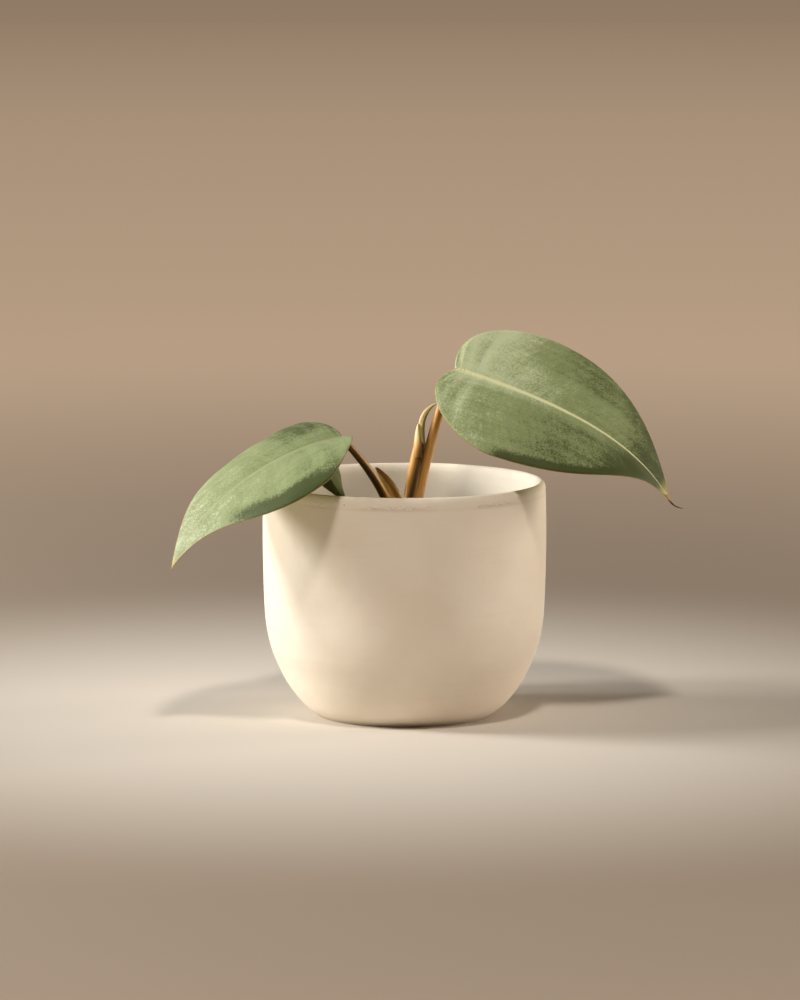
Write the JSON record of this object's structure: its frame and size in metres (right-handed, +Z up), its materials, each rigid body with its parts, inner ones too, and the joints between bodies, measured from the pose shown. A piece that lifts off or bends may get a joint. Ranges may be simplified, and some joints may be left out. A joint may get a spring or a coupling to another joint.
{
  "type": "potted philodendron gloriosum",
  "caption": "Young creeping philodendron with velvety heart-shaped leaves arching over the rim of a round cream ceramic pot, rooted in bark mix in a plastic inner pot.",
  "frame": {"origin": "centre of the pot's flat underside", "axes": "+X towards the larger leaf, +Y to the back, +Z up"},
  "size_m": [0.249, 0.154, 0.1876],
  "materials": {
    "cream_ceramic": "matte cream glaze with fine bumps",
    "black_plastic": "thin moulded plastic",
    "bark_mix": "loose bark, coir and grit",
    "creeping_stem": "ringed brown stem skin",
    "amber_stalk": "satin amber skin with a dark stripe",
    "rolled_leaf": "satin young leaf",
    "dark_stalk": "satin dark brown skin",
    "papery_bract": "dry papery bract",
    "velvet_leaf": "velvet grey green with a cream midrib",
    "deep_velvet_leaf": "dark velvet green"
  },
  "bodies": {
    "root": {"pot": "cream_ceramic", "inner_pot": "black_plastic", "soil": "bark_mix", "rhizome": "creeping_stem", "right_stalk": "amber_stalk", "new_leaf": "rolled_leaf", "left_stalk": "dark_stalk", "bract": "papery_bract", "small_stalk": "dark_stalk", "right_blade": "velvet_leaf", "left_blade": "velvet_leaf", "small_blade": "deep_velvet_leaf"}
  },
  "joints": []
}
